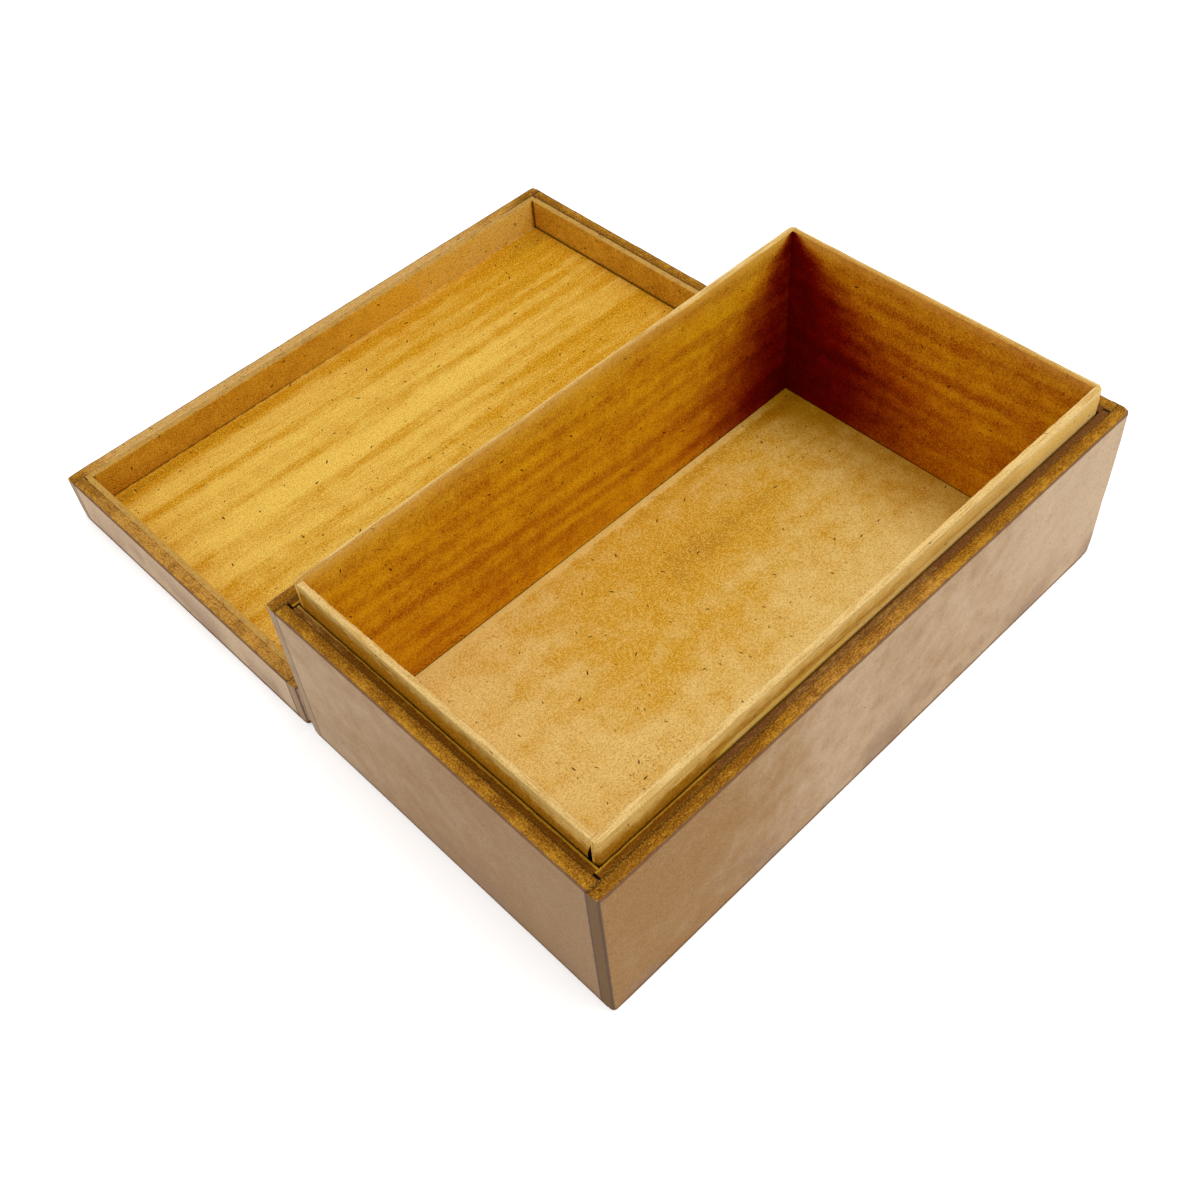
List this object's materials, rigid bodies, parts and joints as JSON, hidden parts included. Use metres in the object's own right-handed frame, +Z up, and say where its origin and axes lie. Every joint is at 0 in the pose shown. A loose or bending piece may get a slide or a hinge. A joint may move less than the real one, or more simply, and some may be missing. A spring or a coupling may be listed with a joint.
{
  "type": "trinket box",
  "caption": "Rectangular keepsake box of stained fibreboard with lined walls, a raised inner lip and a loose lid that lies upside down behind it and turns over to close it.",
  "frame": {"origin": "middle of the box's underside, on the table", "axes": "+X along the box's length to its right end, +Y from the box's front to the lid behind it, +Z up"},
  "size_m": [0.3, 0.363, 0.0975],
  "materials": {
    "wall_board": "bare fibreboard, sanded, with stained sawn rims",
    "lining_board": "amber stained fibreboard",
    "lip_board": "amber stained fibreboard, sanded pale along the top",
    "panel_board": "honey stained fibreboard, mottled"
  },
  "bodies": {
    "box": {"base_panel": "panel_board", "front_wall": "wall_board", "back_wall": "wall_board", "left_wall": "wall_board", "right_wall": "wall_board", "front_lining": "lining_board", "back_lining": "lining_board", "left_lining": "lining_board", "right_lining": "lining_board", "front_lip": "lip_board", "back_lip": "lip_board", "left_lip": "lip_board", "right_lip": "lip_board"},
    "lid": {"lid_top_panel": "wall_board", "lid_ceiling_panel": "panel_board", "lid_front_wall": "wall_board", "lid_back_wall": "wall_board", "lid_left_wall": "wall_board", "lid_right_wall": "wall_board", "lid_front_lining": "lining_board", "lid_back_lining": "lining_board", "lid_left_lining": "lining_board", "lid_right_lining": "lining_board"}
  },
  "joints": [
    {"name": "lid_turn", "type": "hinge", "parent": "box", "child": "lid", "pos_m": [0, 0.0915, 0.05505], "axis": [1, 0, 0], "range_deg": [0, 180]}
  ]
}
